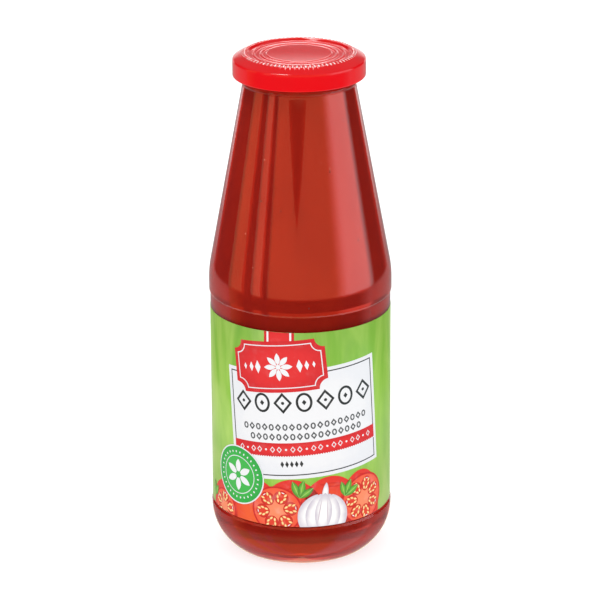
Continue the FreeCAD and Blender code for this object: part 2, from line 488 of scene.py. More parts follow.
class Outline:
    """A half outline in the XZ plane, drawn with a pen and then turned about the Z axis."""

    def __init__(self, radius: float, height: float) -> None:
        """Sets the pen down at a radius and a height."""
        self.mesh = bmesh.new()
        self.tip = self.mesh.verts.new((radius, 0, height))

    def line(self, radius: float, height: float) -> None:
        """Draws a straight edge.

        Args:
            radius: radius of its end.
            height: height of its end.
        """
        made = bmesh.ops.extrude_vert_indiv(self.mesh, verts=[self.tip])
        self.tip = made["verts"][0]
        self.tip.co = (radius, 0, height)

    def run(self, radius: float, height: float, hold: float = 0.8 * MM) -> None:
        """Draws a straight edge with a short piece at each end, which keeps its shading straight.

        Args:
            radius: radius of the end.
            height: height of the end.
            hold: length of each short piece.
        """
        start, end = self.tip.co.copy(), Vector((radius, 0, height))
        share = min(hold / (end - start).length, 0.3)
        for step in (share, 1 - share, 1):
            spot = start.lerp(end, step)
            self.line(spot.x, spot.z)

    def curve(self, height_at: Callable[[float], float], radii: Iterable[float]) -> None:
        """Draws through every radius at the height that a formula gives there."""
        for radius in radii:
            self.line(radius, height_at(radius))

    def arc(self, centre: tuple[float, float], sweep: float, steps: int) -> None:
        """Draws an arc from the pen.

        Args:
            centre: radius and height of the arc's centre.
            sweep: angle in radians, positive from outwards to upwards.
            steps: edges in the arc.
        """
        made = bmesh.ops.spin(
            self.mesh,
            geom=[self.tip],
            cent=(centre[0], 0, centre[1]),
            axis=(0, -1, 0),
            angle=sweep,
            steps=steps,
        )
        self.tip = next(part for part in made["geom_last"] if isinstance(part, bmesh.types.BMVert))

    def turn(self, segments: int) -> bmesh.types.BMesh:
        """Turns the outline all the way round.

        Args:
            segments: flats round the shape.

        Returns:
            The closed turned mesh, its faces pointing outwards.
        """
        bmesh.ops.spin(
            self.mesh,
            geom=[*self.mesh.verts, *self.mesh.edges],
            cent=(0, 0, 0),
            axis=(0, 0, 1),
            angle=2 * math.pi,
            steps=segments,
            use_merge=True,
        )
        bmesh.ops.remove_doubles(self.mesh, verts=self.mesh.verts, dist=0.001 * MM)
        bmesh.ops.recalc_face_normals(self.mesh, faces=self.mesh.faces)
        return self.mesh


def finish_piece(
    mesh: bmesh.types.BMesh, name: str, material: bpy.types.Material, sharp: float = 40.0
) -> bpy.types.Object:
    """Makes a shown piece from a mesh and lets it ride on the bottle.

    Args:
        mesh: the piece in metres, in its place; it is freed.
        name: the piece's name.
        material: its finish.
        sharp: angle in degrees past which an edge stays sharp.

    Returns:
        The new object.
    """
    data = bpy.data.meshes.new(name)
    mesh.to_mesh(data)
    mesh.free()
    data.shade_smooth()
    data.set_sharp_from_angle(angle=math.radians(sharp))
    data.materials.append(material)
    piece = bpy.data.objects.new(name, data)
    bpy.context.scene.collection.objects.link(piece)
    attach(piece, "root")
    LOG.info("%s: %d faces", name, len(data.polygons))
    return piece


@dataclass
class Bottle:
    """The glass bottle and the passata in it. Sizes are in metres.

    Each radius and height that another piece shares comes from the frame's boxes.
    """

    contact_radius: float
    height: float
    fill_height: float
    recess_depth: float = 0.5 * MM
    heel_width: float = 13.0 * MM
    bearing_width: float = 2.0 * MM
    push_up_height: float = 5.0 * MM
    heel_toe_radius: float = 7.9 * MM
    heel_side_radius: float = 22.7 * MM
    lower_band_height: float = 1.3 * MM
    recess_ramp: float = 1.0 * MM
    panel_height: float = 96.6 * MM
    upper_band_height: float = 4.4 * MM
    shoulder_radius: float = 46.8 * MM
    cone_height: float = 87.0 * MM
    neck_radius: float = 24.2 * MM
    bead_gap: float = 0.5 * MM
    bead_height: float = 1.8 * MM
    bead_bulge: float = 0.95 * MM
    finish_foot: float = 3.8 * MM
    finish_step: float = 1.1 * MM
    finish_edge: float = 1.6 * MM
    body_wall: float = 2.6 * MM
    neck_wall: float = 2.0 * MM
    floor_thickness: float = 4.2 * MM
    floor_edge_inset: float = 2.0 * MM
    floor_edge_height: float = 2.8 * MM
    inner_heel_radius: float = 13.0 * MM
    bite: float = 0.25 * MM
    knurl_depth: float = 0.28 * MM
    knurl_reach: float = 3.4 * MM
    knurl_height: float = 1.3 * MM
    segments: int = 240

    def __post_init__(self) -> None:
        """Works out the radii and heights that follow from the sizes."""
        toe, side = self.heel_toe_radius, self.heel_side_radius
        self.bearing = self.contact_radius - self.heel_width
        self.panel = self.contact_radius - self.recess_depth
        self.heel_turn = math.asin((side - self.heel_width) / (side - toe))
        self.heel_top = toe + (side - toe) * math.cos(self.heel_turn)
        self.panel_foot = self.heel_top + self.lower_band_height + self.recess_ramp
        self.panel_top = self.panel_foot + self.panel_height
        self.band_top = self.panel_top + self.recess_ramp + self.upper_band_height
        self.cone_top = self.band_top + self.cone_height

    def shoulder_turn(self, centre: float, bend: float, end: float) -> float:
        """How far a shoulder arc turns before it points at the top of the cone.

        Args:
            centre: radius of the arc's centre.
            bend: the arc's radius.
            end: radius at the top of the cone.

        Returns:
            The turn in radians.
        """
        across, up = end - centre, self.cone_height
        return math.atan2(up, across) - math.acos(bend / math.hypot(across, up))

    def draw_dome(self, outline: Outline, rise: float, edge: float, low: float) -> None:
        """Draws a shallow dome from the axis out and down.

        Args:
            outline: the outline, with its pen on the axis.
            rise: height of the dome's top.
            edge: radius of the dome's edge.
            low: height of the dome's edge.
        """
        sag = rise - low
        bend = (edge**2 + sag**2) / (2 * sag)
        outline.arc((0, rise - bend), -math.asin(edge / bend), 10)

    def draw_cavity(self, outline: Outline, top: float, grow: float) -> None:
        """Draws the inside of the glass from the floor's middle up to a height.

        Args:
            outline: the outline, with its pen on the axis at the floor.
            top: height to stop at.
            grow: how far to reach into the wall.
        """
        wall = self.panel - self.body_wall + grow
        bend = self.shoulder_radius - self.recess_depth - self.body_wall + grow
        bore = self.neck_radius - self.neck_wall + grow
        edge = self.bearing - self.floor_edge_inset
        low = self.floor_edge_height - grow
        self.draw_dome(outline, self.push_up_height + self.floor_thickness - grow, edge, low)
        heel = self.inner_heel_radius
        start = math.acos((edge - (wall - heel)) / heel)
        outline.arc((wall - heel, low + heel * math.sin(start)), start, 14)
        outline.run(wall, self.band_top)
        turn = self.shoulder_turn(wall - bend, bend, bore)
        outline.arc((wall - bend, self.band_top), turn, 8)
        outline.run(bore, self.cone_top)
        outline.run(bore, top)

    def build_glass(self) -> bpy.types.Object:
        """Turns the glass: outside from the push-up to the finish, then down the inside.

        Returns:
            The bottle's shown piece.
        """
        toe, side = self.heel_toe_radius, self.heel_side_radius
        outline = Outline(0, self.push_up_height)
        self.draw_dome(outline, self.push_up_height, self.bearing - self.bearing_width, 0)
        outline.line(self.bearing - 0.5 * self.bearing_width, 0)
        outline.line(self.bearing, 0)
        outline.arc((self.bearing, toe), self.heel_turn, 10)
        outline.arc((self.contact_radius - side, self.heel_top), math.pi / 2 - self.heel_turn, 14)
        self.draw_recess(outline)
        turn = self.shoulder_turn(
            self.contact_radius - self.shoulder_radius, self.shoulder_radius, self.neck_radius
        )
        outline.arc((self.contact_radius - self.shoulder_radius, self.band_top), turn, 8)
        outline.run(self.neck_radius, self.cone_top)
        self.draw_finish(outline)
        inner = Outline(0, self.push_up_height + self.floor_thickness)
        self.draw_cavity(inner, self.height, 0)
        mesh = self.join_shells(outline, inner)
        self.knurl_bearing(mesh)
        piece = finish_piece(mesh, "clear_bottle", ClearGlass().material(), sharp=50)
        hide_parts("glass_bottle")
        return piece

    def draw_recess(self, outline: Outline) -> None:
        """Draws the lower contact band, the label panel and the upper contact band.

        Args:
            outline: the outline, with its pen at the heel's top.
        """
        outline.run(self.contact_radius, self.panel_foot - self.recess_ramp, 0.4 * MM)
        self.draw_ramp(outline, self.contact_radius, self.panel, self.panel_foot)
        outline.run(self.panel, self.panel_top)
        self.draw_ramp(outline, self.panel, self.contact_radius, self.panel_top + self.recess_ramp)
        outline.run(self.contact_radius, self.band_top, 0.5 * MM)

    def draw_ramp(self, outline: Outline, start: float, end: float, top: float) -> None:
        """Draws a soft S from one radius to another over the recess ramp's height.

        Args:
            outline: the outline to draw on.
            start: radius at the foot.
            end: radius at the top.
            top: height of the top.
        """
        steps = 6
        for step in range(1, steps + 1):
            share = step / steps
            radius = start + (end - start) * ease(share)
            outline.line(radius, top - self.recess_ramp * (1 - share))

    def draw_finish(self, outline: Outline) -> None:
        """Draws the bead below the lid and the finish up to its land.

        Args:
            outline: the outline, with its pen at the cone's top.
        """
        foot = self.cone_top + self.bead_gap
        outline.line(self.neck_radius, foot)
        half = self.bead_height / 2
        depth = math.sqrt(self.bead_bulge**2 - half**2)
        start = math.atan2(half, depth)
        outline.arc((self.neck_radius - depth, foot + half), 2 * start, 8)
        outline.line(self.neck_radius, self.cone_top + self.finish_foot)
        finish = self.neck_radius + self.finish_step
        outline.line(finish, self.cone_top + self.finish_foot + self.finish_step)
        outline.line(finish, self.height - self.finish_edge)
        outline.arc((finish - self.finish_edge, self.height - self.finish_edge), math.pi / 2, 6)

    def join_shells(self, outer: Outline, inner: Outline) -> bmesh.types.BMesh:
        """Turns both outlines as one closed wall.

        Args:
            outer: the outside, up to the land.
            inner: the inside, from the axis up to the land.

        Returns:
            The closed wall of glass.
        """
        points = [vert.co.copy() for vert in inner.mesh.verts]
        inner.mesh.free()
        for point in reversed(points):
            outer.line(point.x, point.z)
        return outer.turn(self.segments)

    def knurl_bearing(self, mesh: bmesh.types.BMesh) -> None:
        """Raises short ribs round the bearing ring and the foot of the heel.

        Args:
            mesh: the turned glass.
        """
        step = 2 * math.pi / self.segments
        for vert in mesh.verts:
            out = math.hypot(vert.co.x, vert.co.y) - self.bearing
            near = -self.bearing_width - 0.1 * MM < out < self.knurl_reach
            odd = round(math.atan2(vert.co.y, vert.co.x) / step) % 2
            if near and odd and vert.co.z < self.knurl_height:
                vert.co.z += self.knurl_depth

    def build_passata(self) -> bpy.types.Object:
        """Turns the filling, which reaches just into the wall so that no gap shows.

        Returns:
            The filling's shown piece.
        """
        outline = Outline(0, self.push_up_height + self.floor_thickness - self.bite)
        self.draw_cavity(outline, self.fill_height, self.bite)
        outline.line(0, self.fill_height)
        mesh = outline.turn(self.segments)
        piece = finish_piece(mesh, "passata_fill", SievedTomato().material(), sharp=60)
        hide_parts("passata")
        return piece


@dataclass
class Lid:
    """The twist-off lid, pressed from lacquered sheet. Sizes are in metres."""

    radius: float
    foot: float
    crest: float
    sheet: float = 0.35 * MM
    bevel_width: float = 4.6 * MM
    bevel_height: float = 2.5 * MM
    corner_radius: float = 0.9 * MM
    edge_radius: float = 0.35 * MM
    rim_inset: float = 7.3 * MM
    channel_slope: float = 1.2 * MM
    panel_drop: float = 1.1 * MM
    outer_ring_inset: float = 1.9 * MM
    ring_spacing: float = 3.1 * MM
    ring_half_width: float = 0.9 * MM
    ring_rise: float = 0.5 * MM
    button_inset: float = 1.9 * MM
    button_ramp: float = 0.5 * MM
    button_rise: float = 0.4 * MM
    button_sag: float = 0.16 * MM
    hem_width: float = 1.1 * MM
    crest_rise: float = 0.5 * MM
    tooth_pitch: int = 3
    tooth_depth: float = 0.45 * MM
    tooth_inset: float = 0.36 * MM
    tooth_zone: tuple = (-0.9 * MM, 0.3 * MM, 0.32 * MM)
    # Zone round the crest whose faces take the painted glint finish: start, end and depth.
    glint_zone: tuple = (-0.9 * MM, 0.8 * MM, 0.9 * MM)
    segments: int = 240

    def __post_init__(self) -> None:
        """Lifts the crest and works out the radii of the rings from the lid's radius."""
        self.crest += self.crest_rise
        self.plateau = self.radius - self.bevel_width
        self.rim = self.radius - self.rim_inset
        outer = self.rim - self.outer_ring_inset
        self.rings = (outer, outer - self.ring_spacing)
        self.button = self.rings[1] - self.button_inset

    def top(self, radius: float) -> float:
        """Height of the lid's top at a radius, up to the crest's outer edge.

        Args:
            radius: distance from the axis.

        Returns:
            The height.
        """
        height = self.crest - self.panel_drop
        height += self.button_sag * max(0, 1 - (radius / self.button) ** 2)
        height += self.button_rise * ease((self.button - radius) / self.button_ramp)
        for ring in self.rings:
            off = abs(radius - ring) / self.ring_half_width
            height += self.ring_rise * (0.5 + 0.5 * math.cos(math.pi * min(off, 1)))
        return height + self.panel_drop * ease((radius - self.rim) / self.channel_slope)

    def build(self) -> bpy.types.Object:
        """Turns the pressing, serrates its crest and dresses it.

        Returns:
            The lid's shown piece.
        """
        steps = 96
        radii = [(self.plateau - self.edge_radius) * step / steps for step in range(steps + 1)]
        outline = Outline(0, self.top(0))
        outline.curve(self.top, radii[1:])
        self.draw_shoulder(outline)
        curl = self.hem_width / 2
        outline.run(self.radius, self.foot + curl)
        outline.arc((self.radius - curl, self.foot + curl), -math.pi, 10)
        outline.line(self.radius - self.hem_width, self.foot + 2.4 * curl)
        outline.line(self.radius - self.sheet, self.foot + 2.8 * curl)
        outline.line(self.radius - self.sheet, self.crest - self.bevel_height - 2 * self.sheet)
        outline.line(self.plateau, self.crest - 2 * self.sheet)
        outline.curve(lambda radius: self.top(radius) - self.sheet, reversed(radii[:-1]))
        mesh = outline.turn(self.segments)
        self.serrate(mesh)
        piece = finish_piece(mesh, "twist_off_lid", RedLacquer().material(), sharp=55)
        # Second finish: the painted highlight on every third face of the crest.
        piece.data.materials.append(PaintedToothGlint().material())
        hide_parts("lid")
        return piece

    def draw_shoulder(self, outline: Outline) -> None:
        """Draws the crest's tight edge, the flat bevel and the rounded corner above the skirt.

        Args:
            outline: the outline, with its pen on the crest.
        """
        slope = math.atan2(self.bevel_height, self.bevel_width)
        edge, corner = self.edge_radius, self.corner_radius
        outline.arc((self.plateau - edge, self.crest - edge), -slope, 4)
        low = self.crest - self.bevel_height
        outline.run(
            self.radius - corner + corner * math.sin(slope),
            low - corner * math.cos(slope) * 0.5 + corner * 0.5,
            0.9 * MM,
        )
        steps = 6
        for step in range(1, steps + 1):
            turn = slope + (math.pi / 2 - slope) * step / steps
            drop = corner * (math.cos(slope) - math.cos(turn))
            across = self.radius - corner + corner * math.sin(turn)
            outline.line(across, low + corner * 0.5 * (1 - math.cos(slope)) - drop)

    def near_crest(self, place: Vector, zone: tuple[float, float, float]) -> bool:
        """Whether a place lies in a zone round the crest's outer edge.

        Args:
            place: the place to test.
            zone: how far from the edge it starts and ends outwards, and how deep it goes.

        Returns:
            True inside the zone.
        """
        start, end, depth = zone
        out = math.hypot(place.x, place.y) - self.plateau
        return start < out < end and place.z > self.crest - depth

    def serrate(self, mesh: bmesh.types.BMesh) -> None:
        """Presses fine teeth into the crest's outer edge and gives every third face there the painted
        highlight finish.

        Args:
            mesh: the turned lid.
        """
        step = 2 * math.pi / self.segments
        for face in mesh.faces:
            middle = face.calc_center_median()
            # Every third face round the crest takes the painted highlight, which stands in for glints.
            if self.near_crest(middle, self.glint_zone):
                turn = math.floor(math.atan2(middle.y, middle.x) / step)
                face.material_index = int(turn % self.tooth_pitch == 1)
        for vert in mesh.verts:
            turn = round(math.atan2(vert.co.y, vert.co.x) / step)
            if turn % self.tooth_pitch == 0 and self.near_crest(vert.co, self.tooth_zone):
                vert.co.xy *= 1 - self.tooth_inset / self.plateau
                vert.co.z -= self.tooth_depth


# --------------------------------------------------------------------------------------------------
# Label
# --------------------------------------------------------------------------------------------------


@dataclass(frozen=True)
class Sleeve:
    """The cylinder that the label is wrapped on. Flat places are (across, -proud, up)."""

    radius: float
    foot: float
    height: float

    @property
    def half_round(self) -> float:
        """Half of the way round the bottle."""
        return math.pi * self.radius

    def wrap(self, mesh: bmesh.types.BMesh) -> None:
        """Bends a flat mesh round the bottle, with its middle at the front.

        Args:
            mesh: the flat mesh, changed in place.
        """
        for vert in mesh.verts:
            turn = vert.co.x / self.radius
            reach = self.radius - vert.co.y
            place = (reach * math.sin(turn), -reach * math.cos(turn), self.foot + vert.co.z)
            vert.co = place


@dataclass(frozen=True)
class Spot:
    """A place on the flat label: millimetres across and up, and a turn in degrees."""

    across: float
    up: float
    turn: float = 0.0

    def moved(self, across: float, up: float, turn: float = 0.0) -> "Spot":
        """A place that lies off this one, measured in this one's turned directions.

        Args:
            across: millimetres along this spot's own across direction.
            up: millimetres along its own up direction.
            turn: further turn in degrees.

        Returns:
            The new place.
        """
        angle = math.radians(self.turn)
        return Spot(
            self.across + across * math.cos(angle) - up * math.sin(angle),
            self.up + across * math.sin(angle) + up * math.cos(angle),
            self.turn + turn,
        )


class Plate:
    """A printing plate: every shape of one ink at one depth of overprint, drawn flat."""

    def __init__(self, ink_used: Inks, layer: int) -> None:
        """Starts an empty plate.

        Args:
            ink_used: the plate's ink.
            layer: how many prints lie under it.
        """
        self.ink = ink_used
        self.layer = layer
        self.mesh = bmesh.new()
        self.map = self.mesh.loops.layers.uv.new("Motif")

    def stamp(
        self,
        faces: Iterable[bmesh.types.BMFace],
        spot: Spot,
        size: tuple[float, float],
        line: float = 0.0,
    ) -> None:
        """Maps new faces of unit size, scales them and puts them in place.

        Args:
            faces: faces drawn within -1 to 1 in the XY plane.
            spot: where their middle goes.
            size: half width and half height in millimetres.
            line: width in millimetres of the outline to keep, or 0 for the whole shape.
        """
        faces = list(faces)
        for face in faces:
            for loop in face.loops:
                loop[self.map].uv = loop.vert.co.xy
        verts = list({vert for face in faces for vert in face.verts})
        bmesh.ops.scale(self.mesh, verts=verts, vec=(size[0] * MM, size[1] * MM, 1))
        if line:
            inner = bmesh.ops.inset_region(
                self.mesh,
                faces=faces,
                use_boundary=True,
                use_even_offset=True,
                thickness=line * MM,
            )
            ring = inner["faces"]
            verts = list({vert for face in [*ring, *faces] for vert in face.verts})
            bmesh.ops.delete(self.mesh, geom=faces, context="FACES_ONLY")
        place = Matrix.Translation((spot.across * MM, 0, spot.up * MM))
        turned = place @ Matrix.Rotation(-math.radians(spot.turn), 4, "Y") @ UPRIGHT
        bmesh.ops.transform(self.mesh, matrix=turned, verts=verts)

    def disc(
        self, spot: Spot, size: tuple[float, float], line: float = 0.0, sides: int = 40
    ) -> None:
        """Stamps a disc, an ellipse or, with four sides, a lozenge.

        Args:
            spot: its middle.
            size: half width and half height in millimetres.
            line: width of its outline, or 0 to fill it.
            sides: its number of sides.
        """
        made = bmesh.ops.create_circle(self.mesh, cap_ends=True, radius=1, segments=sides)
        self.stamp({face for vert in made["verts"] for face in vert.link_faces}, spot, size, line)

    def bar(self, spot: Spot, size: tuple[float, float], line: float = 0.0) -> None:
        """Stamps a rectangle.

        Args:
            spot: its middle.
            size: half width and half height in millimetres.
            line: width of its outline, or 0 to fill it.
        """
        made = bmesh.ops.create_grid(self.mesh, x_segments=1, y_segments=1, size=1)
        self.stamp({face for vert in made["verts"] for face in vert.link_faces}, spot, size, line)

    def petal(self, spot: Spot, size: tuple[float, float], tip: float = 1.0) -> None:
        """Stamps a leaf or petal that narrows to both ends.

        Args:
            spot: its middle.
            size: half length and half width in millimetres.
            tip: how sharply it narrows.
        """
        made = bmesh.ops.create_circle(self.mesh, cap_ends=True, radius=1, segments=36)
        for vert in made["verts"]:
            vert.co.y *= (1 - vert.co.x**2) ** (0.5 * tip)
        self.stamp({face for vert in made["verts"] for face in vert.link_faces}, spot, size)

    def plaque(
        self, spot: Spot, size: tuple[float, float], scoop: float, line: float = 0.0
    ) -> None:
        """Stamps a plaque with scooped corners.

        Args:
            spot: its middle.
            size: half width and half height in millimetres.
            scoop: radius of each corner's scoop in millimetres.
            line: width of its outline, or 0 to fill it.
        """
        corners = []
        for across, up, start in ((1, 1, -90), (-1, 1, 0), (-1, -1, 90), (1, -1, 180)):
            for step in range(9):
                angle = math.radians(start - 90 * step / 8)
                corners.append(
                    (
                        across + scoop / size[0] * math.cos(angle),
                        up + scoop / size[1] * math.sin(angle),
                        0,
                    )
                )
        verts = [self.mesh.verts.new(corner) for corner in corners]
        self.stamp([self.mesh.faces.new(verts)], spot, size, line)

    def press(self, sleeve: Sleeve) -> bpy.types.Object:
        """Trims the plate to the label, bends it round the bottle and dresses it.

        Args:
            sleeve: the label's place.

        Returns:
            The printed piece.
        """
        mesh = self.mesh
        for edge, outward in ((0.0, -1), (sleeve.height, 1)):
            bmesh.ops.bisect_plane(
                mesh,
                geom=[*mesh.verts, *mesh.edges, *mesh.faces],
                plane_co=(0, 0, edge),
                plane_no=(0, 0, outward),
                clear_outer=True,
            )
        pitch = 1.2 * MM
        reach = max((abs(vert.co.x) for vert in mesh.verts), default=0)
        for step in range(-int(reach / pitch), int(reach / pitch) + 1):
            bmesh.ops.bisect_plane(
                mesh,
                geom=[*mesh.verts, *mesh.edges, *mesh.faces],
                plane_co=(step * pitch, 0, 0),
                plane_no=(1, 0, 0),
            )
        bmesh.ops.triangulate(mesh, faces=mesh.faces)
        bmesh.ops.translate(mesh, verts=mesh.verts, vec=(0, -0.015 * MM * (self.layer + 1), 0))
        sleeve.wrap(mesh)
        name = f"print_{self.layer}_{self.ink.name.lower()}"
        piece = finish_piece(mesh, name, self.ink.value.material(), sharp=180)
        point_normals_out(piece)
        return piece


def point_normals_out(piece: bpy.types.Object) -> None:
    """Shades a wrapped piece as the true cylinder that it lies on.

    Args:
        piece: a piece with no thickness on the label's cylinder.
    """
    normals = [Vector((vert.co.x, vert.co.y, 0)).normalized() for vert in piece.data.vertices]
    piece.data.normals_split_custom_set_from_vertices(normals)


@dataclass
class Label:
    """The paper label: a green painted field with a slanted white panel and generic ornament."""

    sleeve: Sleeve
    paper: float = 0.12 * MM
    overlap: float = 9 * MM
    tilt: float = 4.2

    def __post_init__(self) -> None:
        """Starts with no plates."""
        self.plates: dict[tuple[Inks, int], Plate] = {}
        self.panel = Spot(1.6, 47.7, self.tilt)

    def plate(self, ink_used: Inks, layer: int) -> Plate:
        """Finds a plate, or makes it when it is first asked for.

        Args:
            ink_used: the plate's ink.
            layer: how many prints lie under it.

        Returns:
            The plate.
        """
        key = (ink_used, layer)
        if key not in self.plates:
            self.plates[key] = Plate(ink_used, layer)
        return self.plates[key]

    def build_paper(self) -> bpy.types.Object:
        """Wraps the paper right round, its end lapped over its start at the back.

        Returns:
            The paper's shown piece.
        """
        sleeve = self.sleeve
        length = 2 * sleeve.half_round + self.overlap
        mesh = bmesh.new()
        bmesh.ops.create_grid(mesh, x_segments=260, y_segments=1, size=0.5)
        bmesh.ops.transform(mesh, matrix=UPRIGHT, verts=mesh.verts)
        bmesh.ops.scale(mesh, verts=mesh.verts, vec=(length, 1, sleeve.height))
        shift = (self.overlap / 2, 0, sleeve.height / 2)
        bmesh.ops.translate(mesh, verts=mesh.verts, vec=shift)
        layer = mesh.loops.layers.uv.new(PaintedField().uv)
        for face in mesh.faces:
            for loop in face.loops:
                loop[layer].uv = (loop.vert.co.x, loop.vert.co.z)
        lap = sleeve.half_round - 1.5 * MM
        for vert in mesh.verts:
            vert.co.y -= 1.3 * self.paper * ease((vert.co.x - lap) / (3 * MM))
        sleeve.wrap(mesh)
        piece = finish_piece(mesh, "label_paper_sleeve", PaintedField().material(), sharp=60)
        thick = piece.modifiers.new("paper", "SOLIDIFY")
        thick.thickness = self.paper
        thick.offset = -1
        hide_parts("label")
        return piece

    def draw_panel(self) -> None:
        """Draws the slanted white panel, its thin dark frame and its red band."""
        panel = self.panel
        self.plate(Inks.WHITE, 0).bar(panel, (35.4, 24.9))
        self.plate(Inks.DARK, 1).bar(panel, (33.8, 23.3), line=0.5)
        band = panel.moved(0, -11.3)
        self.plate(Inks.RED, 2).bar(band, (33.9, 3.1))
        for step in range(62):
            self.plate(Inks.WHITE, 3).disc(band.moved(-33.6 + 1.1 * step, -3.1), (0.3, 0.34), sides=8)
        for step in range(21):
            spot = band.moved(-30 + 3 * step, 0.1)
            if step % 3 == 1:
                self.plate(Inks.WHITE, 3).disc(spot, (0.5, 0.5), sides=12)
            else:
                self.plate(Inks.WHITE, 3).disc(spot, (1.15, 1.45), line=0.34, sides=4)

    def draw_title(self) -> None:
        """Draws a row of thin-line lozenges and rings, two fine rows below it and a small mark."""
        title = self.panel.moved(0.5, 10.2)
        for step in range(7):
            spot = title.moved(9.3 * (step - 3), 0)
            if step % 2:
                self.plate(Inks.DARK, 1).disc(spot, (3.6, 4.4), line=1.05)
                self.plate(Inks.DARK, 1).disc(spot, (1.0, 1.25), sides=4)
            else:
                self.plate(Inks.DARK, 1).disc(spot, (4.1, 4.8), line=1.0, sides=4)
                self.plate(Inks.DARK, 1).disc(spot, (0.7, 0.7), sides=16)
        for row, (up, half) in enumerate(((-0.9, 9), (-5.4, 8))):
            for step in range(-half, half + 1):
                spot = self.panel.moved(0.5 + 3.05 * step, up)
                if (step + row) % 2:
                    self.plate(Inks.GREY, 1).disc(spot, (1.15, 1.5), line=0.62, sides=24)
                else:
                    self.plate(Inks.GREY, 1).disc(spot, (1.4, 1.75), line=0.6, sides=4)
        mark = self.panel.moved(-7.0, -18.0)
        for step in range(-2, 3):
            self.plate(Inks.DARK, 1).disc(mark.moved(2.1 * step, 0), (0.8, 1.5), sides=4)

    def draw_emblem(self) -> None:
        """Draws the ribbon and the red plaque with its white line and rosette."""
        ribbon = Spot(-9.4, 85.5)
        self.plate(Inks.RED, 2).bar(ribbon, (6.6, 6.0))
        for side in (-1, 1):
            self.plate(Inks.WHITE, 3).bar(ribbon.moved(5.0 * side, 0), (0.42, 6.0))
        plaque = Spot(-9.8, 73.6, 6.0)
        self.plate(Inks.RED, 4).plaque(plaque, (21.0, 11.6), 4.2)
        self.plate(Inks.WHITE, 5).plaque(plaque, (19.3, 9.9), 4.0, line=0.45)
        for step in range(8):
            petal = plaque.moved(0, 0, 45 * step).moved(3.6, 0)
            self.plate(Inks.WHITE, 5).petal(petal, (2.7, 1.15))
        self.plate(Inks.WHITE, 5).disc(plaque, (1.1, 1.1), sides=20)
        for side in (-1, 1):
            for step, size in enumerate((3.0, 2.2, 1.5)):
                spot = plaque.moved(side * (9.3 + 3.1 * step), 0)
                self.plate(Inks.WHITE, 5).disc(spot, (0.45 * size, size), sides=4)

    def draw_seal(self) -> None:
        """Draws the round green seal with its white rim, beaded ring and flower."""
        seal = Spot(-30.1, 20.3, 0)
        self.plate(Inks.WHITE, 6).disc(seal, (13.5, 13.5), sides=72)
        self.plate(Inks.SEAL, 7).disc(seal, (12.9, 12.9), sides=72)
        for step in range(30):
            bead = seal.moved(0, 0, 12 * step).moved(10.6, 0)
            self.plate(Inks.WHITE, 8).disc(bead, (0.5, 0.36), sides=10)
        self.plate(Inks.WHITE, 8).disc(seal, (8.8, 8.8), line=0.35, sides=56)
        for step in range(6):
            petal = seal.moved(0, 0, 30 + 60 * step).moved(4.1, 0)
            self.plate(Inks.WHITE, 8).petal(petal, (3.2, 1.5), tip=0.8)
        self.plate(Inks.SEAL, 9).disc(seal, (1.5, 1.5), sides=24)

    def draw_slice(self, spot: Spot, radius: float, chambers: int, layer: int) -> None:
        """Draws a tomato cut across, with its seed chambers.

        Args:
            spot: its middle.
            radius: its radius in millimetres.
            chambers: how many seed chambers it has.
            layer: the layer of its skin.
        """
        self.plate(Inks.SKIN, layer).disc(spot, (radius, radius * 0.97), sides=64)
        self.plate(Inks.FLESH, layer + 1).disc(spot, (radius * 0.93, radius * 0.9), sides=64)
        for step in range(chambers):
            ray = spot.moved(0, 0, 360 / chambers * step)
            width = 1.75 * radius / chambers
            chamber = ray.moved(radius * 0.56, 0)
            self.plate(Inks.PULP, layer + 2).petal(chamber, (radius * 0.29, width), tip=0.35)
            for side in (-1, 1):
                for along, off in ((0.4, 0.25), (0.55, 0.5), (0.7, 0.42)):
                    seed = ray.moved(radius * along, side * width * off, 24 * side)
                    self.plate(Inks.SEED, layer + 3).petal(seed, (0.95, 0.5), tip=0.5)
            gleam = ray.moved(radius * 0.76, 0, 90)
            self.plate(Inks.CLOVE, layer + 3).petal(gleam, (0.9, 0.22), tip=0.6)

    def draw_garlic(self, spot: Spot, size: float, layer: int) -> None:
        """Draws a white garlic bulb as overlapping cloves with a dry stalk.

        Args:
            spot: the bulb's middle.
            size: half its height in millimetres.
            layer: the layer of its outer cloves.
        """
        stalk = self.plate(Inks.CLOVE, layer)
        stalk.petal(spot.moved(0, size * 0.95, 88), (size * 0.62, size * 0.16), tip=0.5)
        for off, turn, wide in ((0.66, 17, 0.56), (0.36, 9, 0.5)):
            for side in (-1, 1):
                clove = spot.moved(size * off * side, 0, 90 + turn * side)
                self.plate(Inks.CLOVE, layer + (off < 0.5)).petal(clove, (size, size * wide), 0.6)
        self.plate(Inks.CLOVE, layer + 2).petal(spot.moved(0, 0, 90), (size * 1.04, size * 0.42), 0.6)
        for side in (-1, 1):
            vein = spot.moved(size * 0.2 * side, size * 0.05, 90 + 5 * side)
            self.plate(Inks.VEIN, layer + 3).petal(vein, (size * 0.72, size * 0.022), 0.5)

    def draw_sprig(self, spot: Spot, turns: tuple[float, ...], size: float, layer: int) -> None:
        """Draws a few leaves that spread from one place.

        Args:
            spot: where the leaves start.
            turns: each leaf's direction in degrees.
            size: half a leaf's length in millimetres.
            layer: the leaves' layer.
        """
        for step, turn in enumerate(turns):
            long = size * (1 - 0.1 * (step % 2))
            leaf = spot.moved(0, 0, turn).moved(long, 0)
            self.plate(Inks.LEAF, layer + step % 2).petal(leaf, (long, 0.4 * long), tip=0.9)

